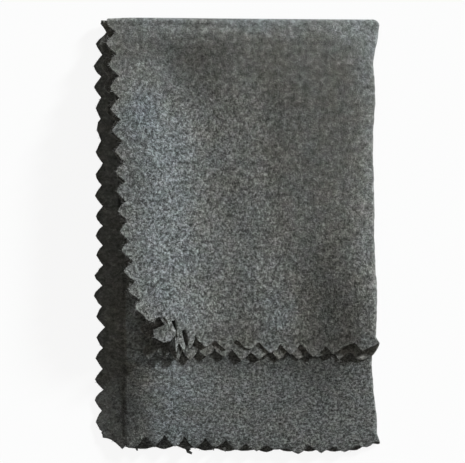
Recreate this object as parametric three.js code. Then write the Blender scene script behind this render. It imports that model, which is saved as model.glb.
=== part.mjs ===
// A soft brushed cleaning cloth with pinked edges, folded twice: book-wise along its right side, then
// over at the top, so that a double flap comes down over the double lower half and stops short of it.
// The cloth is one cut sheet. Each panel of it, and each fold that joins two panels, is one mesh.
// Millimetres: +X to the right, +Y towards the top fold, +Z up from the table, which is z = 0.

import * as THREE from 'three';

// The cloth itself
const CLOTH_THICKNESS = 1.1;
const PLY_GAP = 0.3;
const TOOTH_PITCH = 7;
const TOOTH_DEPTH = 3;

// The lower half, from the fold lines to the tips of its teeth
const LOWER_LENGTH = 145.2;
const FRONT_WIDTH = 93.6;

// The strip of the front panel that lies on the table, from its notches to the back panel's hidden tips
const STRIP_TOP_WIDTH = 0.9;
const STRIP_BOTTOM_WIDTH = 7.2;
const STRIP_DROP_RUN = 40;

// The flap, from the top fold line to the tips of its outer ply, and how far its left edges run in
const FLAP_LENGTH = 110;
const FLAP_OUTER_TAPER = 11.2;
const FLAP_INNER_TAPER = 16.4;

// The front panel's swell above a flat ply: at its crease, on the low ridge beside it, and at the ridge's
// foot. The places are measured inwards from the crease, and the swell grows over a run from the top fold.
const CREASE_LIFT = 1.5;
const RIDGE_HEIGHT = 3.1;
const RIDGE_PLACE = 10.7;
const FOOT_HEIGHT = 1.9;
const FOOT_PLACE = 28;
const PRESS_RUN = 26;

// The flap's climb to its free left edge, from a foot that starts further left at the top fold
const CLIMB_HEIGHT = 5.5;
const CLIMB_INNER_SHARE = 0.3;
const CLIMB_FOOT = 49;
const CLIMB_FOOT_SHIFT = 16;
const CLIMB_SHIFT_RUN = 26;
const CLIMB_RUN = 34;
const CLIMB_END_DROP = 0.3;

// How far the outer ply stands off the inner one, past the folds that hold it down and up to its open edge
const LOFT = 1.3;
const LOFT_TOP_RUN = 4;
const LOFT_SIDE_RUN = 5;
const OPEN_EDGE_RUN = 26;

// The loose side fold at the flap's open end: its clear height, and the width of panel that it lifts
const LOOP_HEIGHT = 3.4;
const LOOP_RUN = 28;

// The tip of the tooth at the end of a top fold, as a share of its root
const BLUNT_TIP_SHARE = 0.2;

// Facets
const BEND_STEPS = 10;
const LOOP_ROWS = 16;

const CLOTH_COLOUR = 0x656765;
const CLOTH_ROUGHNESS = 0.95;

// The plies from the table up: back panel, front panel, inner flap, outer flap
const plyStep = CLOTH_THICKNESS + PLY_GAP;
const plyLevel = (ply) => ply * plyStep;
const hingeHeight = 2 * plyStep - PLY_GAP / 2;

// The bend of a flat side fold, and the loose one at the flap's open end
const flatBend = PLY_GAP / 2 + CLOTH_THICKNESS;
const looseBend = LOOP_HEIGHT / 2 + CLOTH_THICKNESS;

// The fold lines, set so that the folded cloth is centred on the origin
const sideFold = (FRONT_WIDTH - looseBend) / 2;
const topFold = (LOWER_LENGTH - hingeHeight) / 2;

// Lengths and widths from the fold lines to the notches between the teeth
const lowerLength = LOWER_LENGTH - TOOTH_DEPTH;
const frontWidth = FRONT_WIDTH - TOOTH_DEPTH;
const backTipTop = frontWidth - STRIP_TOP_WIDTH;
const backTipBottom = frontWidth - STRIP_BOTTOM_WIDTH;
const outerLength = FLAP_LENGTH - TOOTH_DEPTH;
const innerLength = outerLength + Math.PI * plyStep;
const outerWidthTop = backTipTop - TOOTH_DEPTH;
const outerWidthBottom = outerWidthTop - FLAP_OUTER_TAPER;
const innerWidthBottom = frontWidth - FLAP_INNER_TAPER;

const { clamp, lerp, smoothstep } = THREE.MathUtils;
const toothCount = (length) => Math.max(1, Math.round(length / TOOTH_PITCH));

// A closed patch of cloth. place(u, v, face) gives a point of its under face (0) or upper face (1),
// with u and v from 0 to 1. Teeth stand on the rims u = 1 and v = 1, each over a whole number of cells.
function clothPatch(columns, rows, place, teeth = {}) {
  const points = [];
  const triangles = [];
  const node = (column, row, face) => 2 * (row * (columns + 1) + column) + face;
  const addPoint = (u, v) => {
    points.push(...place(u, v, 0), ...place(u, v, 1));
    return points.length / 3 - 2;
  };
  const addTriangle = (a, b, c) => {
    triangles.push(a + 1, b + 1, c + 1, a, c, b);
  };

  for (let row = 0; row <= rows; row += 1) {
    for (let column = 0; column <= columns; column += 1) addPoint(column / columns, row / rows);
  }
  for (let row = 0; row < rows; row += 1) {
    for (let column = 0; column < columns; column += 1) {
      const corner = node(column, row, 0);
      const across = node(column + 1, row, 0);
      const along = node(column, row + 1, 0);
      addTriangle(corner, across, along);
      addTriangle(across, node(column + 1, row + 1, 0), along);
    }
  }

  // One side of the rim, with a fan of triangles out to the tip of each tooth
  const rimSide = (nodes, toothTotal, tipOf) => {
    if (!toothTotal) return nodes.slice(0, -1);
    const cells = (nodes.length - 1) / toothTotal;
    return Array.from({ length: toothTotal }, (_, tooth) => {
      const base = nodes.slice(tooth * cells, (tooth + 1) * cells + 1);
      const tip = addPoint(...tipOf((tooth + 0.5) / toothTotal));
      base.slice(1).forEach((next, i) => addTriangle(base[i], tip, next));
      return [base[0], tip];
    }).flat();
  };
  const steps = (count) => Array.from({ length: count + 1 }, (_, i) => i);
  const top = steps(columns).map((column) => node(column, 0, 0));
  const left = steps(rows).map((row) => node(columns, row, 0));
  const bottom = steps(columns).map((column) => node(columns - column, rows, 0));
  const right = steps(rows).map((row) => node(0, rows - row, 0));
  const rim = [
    ...rimSide(top),
    ...rimSide(left, teeth.left, (v) => [1 + teeth.leftReach, v]),
    ...rimSide(bottom, teeth.bottom, (u) => [1 - u, 1 + teeth.bottomReach]),
    ...rimSide(right),
  ];
  rim.forEach((here, i) => {
    const next = rim[(i + 1) % rim.length];
    triangles.push(here, next, next + 1, here, next + 1, here + 1);
  });

  const geometry = new THREE.BufferGeometry();
  geometry.setAttribute('position', new THREE.Float32BufferAttribute(points, 3));
  geometry.setIndex(triangles);
  geometry.computeVertexNormals();
  return geometry;
}

// A panel between the two fold lines: width(v) and length reach its notches, and rise(across, v) is how
// far it lies above its ply's level. Where strip(v) is given, the last column of cells is that wide.
function panel(ply, width, length, rise, strip = null) {
  const columns = toothCount((width(0) + width(1)) / 2);
  const rows = toothCount(length);
  const stripStart = strip ? 1 - 1 / columns : 1;
  const place = (u, v, face) => {
    const full = width(v);
    const kept = strip ? full - strip(v) : full;
    const inside = kept * Math.min(u / stripStart, 1);
    const past = strip ? Math.max(u - stripStart, 0) / (1 - stripStart) : 0;
    const tooth = Math.max(u - 1, 0) * full;
    const across = inside + Math.min(past, 1) * (full - kept) + tooth;
    const x = sideFold - across;
    const y = topFold - length * v;
    return [x, y, plyLevel(ply) + rise(across, v) + face * CLOTH_THICKNESS];
  };
  const teeth = {
    left: rows,
    leftReach: TOOTH_DEPTH / width(0.5),
    bottom: columns,
    bottomReach: TOOTH_DEPTH / length,
  };
  return clothPatch(columns, rows, place, teeth);
}

// The back panel lies flat on the table, its bottom teeth half a pitch out of step with the front panel's
function backPanel() {
  const outline = new THREE.Shape();
  const widthTop = backTipTop - TOOTH_DEPTH;
  const widthBottom = backTipBottom - TOOTH_DEPTH;
  const edgeX = (share) => sideFold - lerp(widthTop, widthBottom, share);
  const bottom = topFold - lowerLength;
  const sideTeeth = toothCount(lowerLength);
  const bottomTeeth = toothCount(widthBottom) - 1;
  const bottomPitch = widthBottom / (bottomTeeth + 1);

  outline.moveTo(sideFold, topFold);
  outline.lineTo(edgeX(0), topFold);
  for (let tooth = 0; tooth < sideTeeth; tooth += 1) {
    const middle = (tooth + 0.5) / sideTeeth;
    const end = (tooth + 1) / sideTeeth;
    outline.lineTo(edgeX(middle) - TOOTH_DEPTH, topFold - lowerLength * middle);
    outline.lineTo(edgeX(end), topFold - lowerLength * end);
  }
  outline.lineTo(edgeX(1) + bottomPitch / 2, bottom);
  for (let tooth = 1; tooth <= bottomTeeth; tooth += 1) {
    outline.lineTo(edgeX(1) + tooth * bottomPitch, bottom - TOOTH_DEPTH);
    outline.lineTo(edgeX(1) + (tooth + 0.5) * bottomPitch, bottom);
  }
  outline.lineTo(sideFold, bottom);
  outline.closePath();
  return new THREE.ExtrudeGeometry(outline, { depth: CLOTH_THICKNESS, bevelEnabled: false });
}

// The width of the front panel's strip at a distance from the top fold line
const stripWidth = (distance) => lerp(STRIP_TOP_WIDTH, STRIP_BOTTOM_WIDTH, distance / lowerLength);

// How far the front panel swells above a flat ply, inwards from the crease and down from the top fold line:
// up to the ridge, down to its foot, and evenly down to the side fold
function frontSwell(inside, distance) {
  const pressed = smoothstep(distance, 0, PRESS_RUN);
  if (inside < RIDGE_PLACE) {
    const share = Math.sin((Math.PI / 2) * (inside / RIDGE_PLACE));
    return pressed * lerp(CREASE_LIFT, RIDGE_HEIGHT, share);
  }
  if (inside < FOOT_PLACE) {
    return pressed * lerp(RIDGE_HEIGHT, FOOT_HEIGHT, smoothstep(inside, RIDGE_PLACE, FOOT_PLACE));
  }
  const creaseWidth = frontWidth - stripWidth(distance);
  return pressed * FOOT_HEIGHT * ((creaseWidth - inside) / (creaseWidth - FOOT_PLACE));
}

// The front panel lies on the back panel, and slopes down to the table along its left strip
function frontPanel() {
  const strip = (v) => stripWidth(v * lowerLength);
  const rise = (across, v) => {
    const distance = v * lowerLength;
    const inside = frontWidth - strip(v) - across;
    const past = clamp(-inside / strip(v), 0, 1);
    const onTable = -plyStep * smoothstep(distance, 0, STRIP_DROP_RUN);
    return lerp(frontSwell(Math.max(inside, 0), distance), onTable, past);
  };
  return panel(1, () => frontWidth, lowerLength, rise, strip);
}

// How far the flap climbs towards its left edge, less so at its open end
function leftClimb(across, distance) {
  const foot = CLIMB_FOOT + CLIMB_FOOT_SHIFT * Math.exp(-distance / CLIMB_SHIFT_RUN);
  const fromTop = smoothstep(distance, 0, PRESS_RUN);
  const atEnd = smoothstep(distance, outerLength - PRESS_RUN, outerLength);
  return CLIMB_HEIGHT * smoothstep(across, foot, foot + CLIMB_RUN) * fromTop * (1 - CLIMB_END_DROP * atEnd);
}

// The inner ply of the flap follows the front panel as far as its ridge, and bridges what is left of that
function innerFlapRise(across, distance) {
  const inside = frontWidth - stripWidth(distance) - across;
  return frontSwell(Math.max(inside, RIDGE_PLACE), distance) + CLIMB_INNER_SHARE * leftClimb(across, distance);
}

// How far the outer ply stands off the inner one: held down by both folds, and lying on it at its open edge
function outerLoft(across, distance) {
  const fromTop = 1 - Math.exp(-distance / LOFT_TOP_RUN);
  const fromSide = 1 - Math.exp(-across / LOFT_SIDE_RUN);
  return LOFT * fromTop * fromSide * (1 - smoothstep(distance, outerLength - OPEN_EDGE_RUN, outerLength));
}

// How far the side fold has opened at a share of the way down the flap, and what is left of it inwards
const loopRise = (v) => (LOOP_HEIGHT - PLY_GAP) * v * v;
const loopShare = (across) => Math.max(0, 1 - across / LOOP_RUN) ** 2;

function innerFlapPanel() {
  const width = (v) => lerp(frontWidth, innerWidthBottom, v);
  return panel(2, width, innerLength, (across, v) => innerFlapRise(across, v * innerLength));
}

function outerFlapPanel() {
  const width = (v) => lerp(outerWidthTop, outerWidthBottom, v);
  const rise = (across, v) => {
    const distance = v * outerLength;
    const climb = (1 - CLIMB_INNER_SHARE) * leftClimb(across, distance);
    const loop = loopRise(v) * loopShare(across);
    return innerFlapRise(across, distance) + outerLoft(across, distance) + climb + loop;
  };
  return panel(3, width, outerLength, rise);
}

// A side fold: the bend from a lower ply round to the one above it, opening by opening(v) on the way down
function sideFoldBend(ply, lengthBelow, lengthAbove, opening, rows, teeth) {
  const place = (u, v, face) => {
    const clear = (PLY_GAP + opening(v)) / 2;
    const radius = clear + face * CLOTH_THICKNESS;
    const centre = plyLevel(ply) + CLOTH_THICKNESS + clear;
    const turn = Math.PI * u;
    const x = sideFold + radius * Math.sin(turn);
    const y = topFold - v * lerp(lengthBelow, lengthAbove, u);
    return [x, y, centre - radius * Math.cos(turn)];
  };
  return clothPatch(BEND_STEPS, rows, place, teeth);
}

// A point of the top fold, at a radius from its axis and a share of the half turn from the table side up
function aboutTopFold(x, radius, turn) {
  const angle = Math.PI * turn;
  return [x, topFold + radius * Math.sin(angle), hingeHeight - radius * Math.cos(angle)];
}

// A top fold: the bend from a lower ply over to its flap. Its left end is one curved tooth, which
// narrows to a blunt tip round the outside of the bend.
function topFoldBend(ply, width) {
  const outer = hingeHeight - plyLevel(ply);
  const place = (u, v, face) => {
    const radius = outer - (1 - face) * CLOTH_THICKNESS;
    const along = Math.min(2 * u, 1);
    const tooth = Math.max(2 * u - 1, 0);
    const turn = 0.5 + (v - 0.5) * lerp(1, BLUNT_TIP_SHARE, tooth);
    return aboutTopFold(sideFold - width * along - TOOTH_DEPTH * tooth, radius, turn);
  };
  return clothPatch(2, BEND_STEPS, place);
}

// The corner where the side fold itself is folded over at the top
function cornerBend() {
  const place = (u, v, face) => {
    const radius = PLY_GAP / 2 + face * CLOTH_THICKNESS;
    const turn = Math.PI * (1 - u);
    const height = flatBend - radius * Math.cos(turn);
    return aboutTopFold(sideFold + radius * Math.sin(turn), hingeHeight - height, v);
  };
  return clothPatch(BEND_STEPS, BEND_STEPS, place);
}

const flapLoopTooth = { bottom: 1, bottomReach: TOOTH_DEPTH / outerLength };
const noOpening = () => 0;

const pieces = {
  back_panel: backPanel(),
  lower_front_panel: frontPanel(),
  lower_side_fold: sideFoldBend(0, lowerLength, lowerLength, noOpening, 1),
  flap_inner_panel: innerFlapPanel(),
  flap_outer_panel: outerFlapPanel(),
  flap_side_fold: sideFoldBend(2, innerLength, outerLength, loopRise, LOOP_ROWS, flapLoopTooth),
  inner_top_fold: topFoldBend(1, frontWidth),
  outer_top_fold: topFoldBend(0, outerWidthTop),
  top_corner_fold: cornerBend(),
};

const cloth = new THREE.Group();
for (const [name, geometry] of Object.entries(pieces)) {
  const material = new THREE.MeshStandardMaterial({
    color: CLOTH_COLOUR,
    roughness: CLOTH_ROUGHNESS,
    metalness: 0,
  });
  const mesh = new THREE.Mesh(geometry, material);
  mesh.name = name;
  cloth.add(mesh);
}

export default cloth;
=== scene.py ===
import math

import bpy
import numpy as np
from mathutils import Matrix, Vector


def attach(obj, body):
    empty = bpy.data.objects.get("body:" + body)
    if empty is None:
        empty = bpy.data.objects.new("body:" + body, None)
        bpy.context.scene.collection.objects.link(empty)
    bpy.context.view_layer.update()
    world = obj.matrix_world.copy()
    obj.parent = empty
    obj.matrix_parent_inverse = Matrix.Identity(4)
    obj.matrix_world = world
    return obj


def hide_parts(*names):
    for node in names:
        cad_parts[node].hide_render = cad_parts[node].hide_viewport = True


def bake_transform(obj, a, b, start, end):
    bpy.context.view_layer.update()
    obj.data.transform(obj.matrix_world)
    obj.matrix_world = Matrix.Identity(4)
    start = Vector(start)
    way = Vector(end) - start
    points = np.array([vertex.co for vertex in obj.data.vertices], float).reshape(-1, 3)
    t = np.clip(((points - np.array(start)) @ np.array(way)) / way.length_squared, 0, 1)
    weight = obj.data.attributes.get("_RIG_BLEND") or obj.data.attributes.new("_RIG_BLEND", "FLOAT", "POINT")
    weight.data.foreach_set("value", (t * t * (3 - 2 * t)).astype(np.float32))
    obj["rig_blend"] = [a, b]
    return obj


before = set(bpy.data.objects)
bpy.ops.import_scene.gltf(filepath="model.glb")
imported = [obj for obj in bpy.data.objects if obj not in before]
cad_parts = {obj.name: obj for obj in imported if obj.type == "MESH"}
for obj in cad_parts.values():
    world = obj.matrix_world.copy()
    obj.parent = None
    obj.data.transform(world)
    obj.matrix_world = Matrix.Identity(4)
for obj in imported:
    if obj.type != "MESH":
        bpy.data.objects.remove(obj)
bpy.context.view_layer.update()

# The cut sheet. One piece of soft grey brushed cloth, cut out with pinking shears, so that every edge is a
# row of teeth. It is laid out as a grid of threads, six to a tooth: columns are counted in teeth from the
# side fold to the left, and rows in teeth from the top fold down, for each panel of the folded cloth.
CLOTH_THICKNESS = 1.0
PITCH_ACROSS = 7.0
PITCH_ALONG = 7.157
TOOTH_DEPTH = 2.7
TIP_WEAR = 0.4
THREADS_PER_TOOTH = 6
FRONT_TEETH = 13.0
BACK_TEETH = 12.0
LOWER_TEETH = 19.9
FLAP_TEETH = 14.9
FIRST_NOTCH = 0.4
CREASE_TOOTH = 12.0
CREASE_WIDTH = 0.05
SLIT_TEETH = (9.42, 9.58, 10.08, 10.25, 10.42, 10.58)


def columns_to(teeth):
    """Teeth counted from the side fold to the cut edge, six columns to a tooth."""
    return np.arange(round(teeth * THREADS_PER_TOOTH) + 1) / THREADS_PER_TOOTH


def rows_to(teeth):
    """Teeth counted from the top fold to the cut edge: six rows to a tooth, one of them on each notch."""
    first = FIRST_NOTCH - math.floor(FIRST_NOTCH * THREADS_PER_TOOTH) / THREADS_PER_TOOTH
    count = round((teeth - first) * THREADS_PER_TOOTH) + 1
    return np.concatenate([[0.0], first + np.arange(count) / THREADS_PER_TOOTH])


def tooth_wave(teeth):
    """A zigzag with sharp notches and worn tips: 0 at each whole number of teeth and 1 halfway between.

    It lies between a straight zigzag and a row of half sine waves, by the wear of the tips.
    """
    straight = 1.0 - np.abs(2.0 * (teeth - np.floor(teeth)) - 1.0)
    return (1.0 - TIP_WEAR) * straight + TIP_WEAR * np.sin(math.pi / 2 * straight)


front_columns = np.sort(np.append(columns_to(FRONT_TEETH), CREASE_TOOTH + CREASE_WIDTH))
back_columns = np.sort(np.append(columns_to(BACK_TEETH), SLIT_TEETH))
lower_rows = rows_to(LOWER_TEETH)
flap_rows = rows_to(FLAP_TEETH)

# How the lower half lies. The back panel lies on the table and the front panel on top of it, joined at the
# right by a fold. The front panel reaches past the back one's hidden left edge and steps down there, in a
# crease. Heights are of the middle of the cloth, and lengths are in millimetres in the part's frame.
SIDE_FOLD_X = 45.3
TOP_FOLD_Y = 71.3
PRESSED_SHARE = 0.1
PRESSED_RUN = 26.0
FRONT_WIDTH = 90.9
BACK_WIDTH = 80.8
BACK_WIDTH_GAIN = 6.0
BACK_EDGE_LIFT = 1.2
BACK_EDGE_RUN = 14.0
PLY_GAP = 0.05
FIRST_PLY_HEIGHT = CLOTH_THICKNESS / 2
SECOND_PLY_HEIGHT = 1.5 * CLOTH_THICKNESS + PLY_GAP
CREASE_HEIGHT = 3.1
CREASE_STEP = 0.2
CREASE_LAP = 0.1
RIDGE_RISE = 0.2
RIDGE_FALL = 0.09
RIDGE_START = 8.5
RIDGE_END = 13.0
RIDGE_FOOT = 28.0
RIDGE_SOFTNESS = 2.0
FOOT_SOFTNESS = 3.0
SETTLE_SLOPE = 0.028
SWELL = 0.12
SWELL_RUN = 14.0
FRONT_WAVES = {"count": 6, "longest": 60.0, "shortest": 20.0, "seed": 11}
DROP_POWER = 1.15
END_FLATTENING = 0.45
END_FLAT_RUN = (126.0, 141.0)


def ramp(value, low, high):
    """A smooth step, 0 up to low and 1 from high on: three times the share's square less twice its cube."""
    share = np.clip((value - low) / (high - low), 0.0, 1.0)
    return share * share * (3.0 - 2.0 * share)


def soft_above(value, softness):
    """0 below zero and the value itself above, by the logarithm of 1 plus the exponential of the value.

    The corner is rounded over the softness.
    """
    return softness * np.log1p(np.exp(value / softness))


def low_waves(x, y, count, longest, shortest, seed):
    """Slow unevenness of hand-folded cloth, about -1 to 1.

    It is the sum of a few plane sine waves of random heading and phase, over the root of their count.
    """
    draw = np.random.default_rng(seed)
    wavelength = draw.uniform(shortest, longest, count)
    heading = draw.uniform(0.0, 2.0 * math.pi, count)
    phase = draw.uniform(0.0, 2.0 * math.pi, count)
    way = x[..., None] * np.cos(heading) + y[..., None] * np.sin(heading)
    return np.sin(2.0 * math.pi * way / wavelength + phase).sum(axis=-1) / math.sqrt(count)


def back_width(share):
    """The back panel's width: wider at the top fold, by a gain that falls with the cube of the way left."""
    return BACK_WIDTH + BACK_WIDTH_GAIN * (1.0 - share) ** 3


def crease_x(y):
    """Where the front panel passes the back panel's hidden edge: its width and a tooth from the side fold."""
    share = np.clip((TOP_FOLD_Y - y) / (LOWER_TEETH * PITCH_ALONG), 0.0, 1.0)
    return SIDE_FOLD_X - back_width(share) - TOOTH_DEPTH


def unpressed(y):
    """How far the plies may stand off each other: hardly at the pressed top fold, and freely past it."""
    return PRESSED_SHARE + (1.0 - PRESSED_SHARE) * ramp(TOP_FOLD_Y - y, 0.0, PRESSED_RUN)


def back_height(x, y):
    """The back panel lies on the table, and turns up a little along its hidden left edge."""
    turned_up = ramp(crease_x(y) + BACK_EDGE_RUN - x, 0.0, BACK_EDGE_RUN)
    return FIRST_PLY_HEIGHT + BACK_EDGE_LIFT * turned_up * unpressed(y)


def front_height(x, y):
    """From the crease an even rise to a low ridge, an even fall from it, and a slow one to the side fold.

    Past the crease the panel steps down and slopes to the table. All of it is less at the top fold and at
    the lower end.
    """
    inside = x - crease_x(y)
    loose = unpressed(y) * (1.0 - END_FLATTENING * ramp(TOP_FOLD_Y - y, *END_FLAT_RUN))
    past_foot = soft_above(inside - RIDGE_FOOT, FOOT_SOFTNESS)
    rise = RIDGE_RISE * (inside - soft_above(inside - RIDGE_START, RIDGE_SOFTNESS))
    fall = RIDGE_FALL * (soft_above(inside - RIDGE_END, RIDGE_SOFTNESS) - past_foot)
    swell = SWELL * low_waves(x, y, **FRONT_WAVES) * ramp(inside, 0.0, SWELL_RUN)
    stand_off = CREASE_HEIGHT + rise - fall - SETTLE_SLOPE * past_foot + swell - SECOND_PLY_HEIGHT
    on_back = SECOND_PLY_HEIGHT + np.maximum(stand_off * loose, 0.0)
    drop = np.clip(-inside / (FRONT_WIDTH - BACK_WIDTH), 0.0, 1.0)
    step_foot = SECOND_PLY_HEIGHT + (CREASE_HEIGHT - CREASE_STEP - SECOND_PLY_HEIGHT) * loose
    on_table = FIRST_PLY_HEIGHT + (step_foot - FIRST_PLY_HEIGHT) * (1.0 - drop) ** DROP_POWER
    return np.where(inside >= -CREASE_LAP, on_back, on_table)


# How the lower half is cut. Both panels are drawn in plan from the fold lines out to the teeth. The cut
# wandered a little, and the folds aren't quite true, so edges run long or short by smooth steps and humps:
# each step is its size and the teeth or shares it runs between, each hump its size, middle and spread.
TOP_FOLD_BOW = 0.25
TOP_FOLD_TILT = 0.006
TOP_FOLD_RUN = 16.0
TOP_TUCK = 2.0
TOP_TUCK_RUN = 9.0
FOLD_SHIFT_RUN = 30.0
FOLD_MISS = 0.15
TIP_MISS = 0.32
TIP_STEP = 0.5
THREAD_MISS = 0.2
THREAD_STEP = 1.0 / THREADS_PER_TOOTH
MISS_TEETH = (-1.0, 41.0)
DOWN_SEED = 1
FOLD_SEED = 20
THREAD_SEED = 50
EDGE_EASE = 5.0
LEFT_EDGE = (0.9, 1.0)
CREASE_REACH = 3.0
STRIP_TIP = CREASE_TOOTH + 0.5
CREASE_FILL = 4.2
CREASE_FILL_SPREAD = 0.42
LOWER_END = (18.6, LOWER_TEETH)
LOWER_END_POWER = 2
LOWER_DRIFT = (0.21, 8.0, 2.6)
LOWER_FOLD_STEPS = ((1.8, 0.82, 0.97), (1.2, 0.975, 1.0))
LOWER_FOLD_DENT = (-0.1, 112.0, 16.0)
FOLD_END_RISE = 0.5
EDGE_RISE_STEPS = ((-FOLD_END_RISE, 0.0, 1.0), (0.6, 6.0, 10.0), (0.4, 12.2, 13.0))
FRONT_SHORT_STEPS = ((4.2, 4.0, 10.0), (-1.5, 0.0, 1.5))
FRONT_DEPTH = 0.6
FRONT_DEPTH_STEPS = ((1.0, 4.0, 10.0), (-0.5, 12.0, 12.4))
NOTCH_FILL = (1.5, 9.6, 0.9)
CORNER_ROUNDING = ((1.2, 0.965, 1.0),)
CORNER_TOOTH_STEPS = ((-0.7, 19.4, 19.7),)
SHALLOW_TEETH = (0.9, 5.5, 2.5)
BACK_LONG_STEPS = ((2.2, 0.0, 1.5), (-0.4, 8.0, 10.0))
BACK_FIRST_TOOTH = 0.5
BACK_DEPTH = 0.4
BACK_ROUGHNESS = 0.5
FRONT_SEED = 101
BACK_SEED = 103


def stepped(value, sizes_and_runs):
    """The sum of smooth steps along a value: each is its size, and where it starts and ends."""
    return sum(size * ramp(value, start, end) for size, start, end in sizes_and_runs)


def hump(value, size, middle, spread):
    """A bell of the given size: e to the power of minus the square of the distance from its middle."""
    return size * np.exp(-(((value - middle) / spread) ** 2))


def uneven(teeth, size, seed, step):
    """By how much a line misses: drawn anew at each step along the teeth, and straight in between."""
    places = np.arange(*MISS_TEETH, step)
    return np.interp(teeth, places, np.random.default_rng(seed).normal(0.0, size, len(places)))


def frayed(teeth, seed):
    """The roughness of the cut: a miss at each tip and notch, and a finer one at each thread."""
    at_tips = uneven(teeth, TIP_MISS, seed, TIP_STEP)
    at_threads = uneven(teeth, THREAD_MISS, seed + THREAD_SEED, THREAD_STEP)
    return at_tips + at_threads


def near_end(lengths, axis):
    """How far a point belongs to a cut edge: 1 at the end of its thread, falling to 0 over the ease."""
    end = lengths.take([-1], axis)
    return ramp(lengths, end - EDGE_EASE, end)


def panel(across, along, teeth_across, teeth_along, depth_left, depth_down, fold_shift, seed, rough=1.0):
    """One panel from its fold lines out: each point steps left by across and down by along, plus the teeth.

    The teeth stand out from the last threads, and fade into the panel over the ease. The fold shift moves the
    fold line to the right, with a small miss at each thread, and fades over its run.
    """
    left = depth_left * tooth_wave(teeth_along - FIRST_NOTCH) + rough * frayed(teeth_along, seed)
    down = depth_down * tooth_wave(teeth_across) + rough * frayed(teeth_across, seed + DOWN_SEED)
    fold_miss = uneven(teeth_along, FOLD_MISS, seed + FOLD_SEED, THREAD_STEP)[:, None]
    shift = (fold_shift + fold_miss) * (1.0 - ramp(across, 0.0, FOLD_SHIFT_RUN))
    top = TOP_FOLD_Y + (TOP_FOLD_BOW + TOP_FOLD_TILT * across) * (1.0 - ramp(along, 0.0, TOP_FOLD_RUN))
    x = SIDE_FOLD_X + shift - across - left[:, None] * near_end(across, 1)
    y = top - along - down[None, :] * near_end(along, 0)
    return np.stack([x, y], axis=-1)


def raised(plan, height):
    """Points of a panel's plan, each at the height of the cloth there."""
    return np.concatenate([plan, height(plan[..., 0], plan[..., 1])[..., None]], axis=-1)


def to_crease(columns, share):
    """Widths from the side fold: even, but drawn so that the crease's own column lies along the crease."""
    even = FRONT_WIDTH * columns / FRONT_TEETH
    off_crease = back_width(share) + TOOTH_DEPTH - FRONT_WIDTH * CREASE_TOOTH / FRONT_TEETH
    reach = np.where(columns < CREASE_TOOTH, CREASE_REACH, FRONT_TEETH - CREASE_TOOTH)
    return even + off_crease * np.clip(1.0 - np.abs(columns - CREASE_TOOTH) / reach, 0.0, 1.0)


def at_left_edge(columns):
    """How far a front column belongs to the left cut edge: 1 on it, falling smoothly to 0 a tenth in."""
    return ramp(columns / FRONT_TEETH, *LEFT_EDGE)


def top_tuck(columns, along):
    """How far the left cut edge is drawn in at the pressed top fold, fading down from it."""
    return TOP_TUCK * (1.0 - ramp(along, 0.0, TOP_TUCK_RUN)) * at_left_edge(columns)


def edge_rise(columns):
    """How far the lower cut edge runs short: at the side fold, to the left, and most past the crease."""
    return FOLD_END_RISE + stepped(columns, EDGE_RISE_STEPS)


lower_share = (lower_rows / LOWER_TEETH)[:, None]
lower_along = PITCH_ALONG * (lower_rows + hump(lower_rows, *LOWER_DRIFT))[:, None]
lower_end = ramp(lower_rows, *LOWER_END)[:, None] ** LOWER_END_POWER
lower_fold_shift = stepped(lower_share, LOWER_FOLD_STEPS) + hump(lower_along, *LOWER_FOLD_DENT)
shallow = hump(lower_rows, *SHALLOW_TEETH)
crease_fill = hump(front_columns, CREASE_FILL, CREASE_TOOTH + CREASE_WIDTH, CREASE_FILL_SPREAD)
notch_fill = hump(front_columns, *NOTCH_FILL) * (1.0 - tooth_wave(front_columns))
front_short = stepped(front_columns, FRONT_SHORT_STEPS) + edge_rise(front_columns) - crease_fill - notch_fill
left_fill = (shallow[:, None] - stepped(lower_share, CORNER_ROUNDING)) * at_left_edge(front_columns)
front_plan = panel(
    across=to_crease(front_columns, lower_share) + left_fill - top_tuck(front_columns, lower_along),
    along=lower_along - lower_end * front_short,
    teeth_across=np.minimum(front_columns, STRIP_TIP),
    teeth_along=lower_rows,
    depth_left=TOOTH_DEPTH * (1.0 + stepped(lower_rows, CORNER_TOOTH_STEPS)) - shallow,
    depth_down=TOOTH_DEPTH * (FRONT_DEPTH + stepped(front_columns, FRONT_DEPTH_STEPS)),
    fold_shift=lower_fold_shift,
    seed=FRONT_SEED,
)
front = raised(front_plan, front_height)
back_long = stepped(back_columns, BACK_LONG_STEPS) - edge_rise(back_columns)
back_plan = panel(
    across=back_width(lower_share) * back_columns / BACK_TEETH,
    along=lower_along + lower_end * back_long,
    teeth_across=BACK_FIRST_TOOTH + back_columns * (BACK_WIDTH / BACK_TEETH) / (FRONT_WIDTH / FRONT_TEETH),
    teeth_along=lower_rows,
    depth_left=TOOTH_DEPTH,
    depth_down=TOOTH_DEPTH * BACK_DEPTH,
    fold_shift=lower_fold_shift,
    seed=BACK_SEED,
    rough=BACK_ROUGHNESS,
)
back = raised(back_plan, back_height)

# How the flap lies. Its two plies are the upper half of the same sheet, folded down over the lower half and
# only patted flat. So it swells behind the top fold, its side fold stands open at the lower end, and its free
# left edge climbs. Runs are distances down from the top fold or places across, from start to end.
CLIMB_SLOPE = 0.24
CLIMB_FOOT_X = -9.0
CLIMB_FOOT_SHIFT = 19.0
CLIMB_FOOT_DOWN = 8.0
CLIMB_FOOT_RUN = 20.0
CLIMB_FOOT_SOFTNESS = 3.5
CLIMB_CREST_X = -32.0
CLIMB_CREST_SHIFT = 7.0
CLIMB_CREST_RUN = (55.0, 85.0)
CLIMB_CREST_SOFTNESS = 3.0
CLIMB_LEAST_WIDTH = 8.0
CLIMB_START_RUN = 20.0
CLIMB_SAG = 0.2
CLIMB_SAG_RUN = (75.0, 108.0)
INNER_CLIMB = 0.3
INNER_FLAT_END = (8.0, 22.0)
INNER_THINNING = 0.2
INNER_FLAT_THINNING = 0.1
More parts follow.
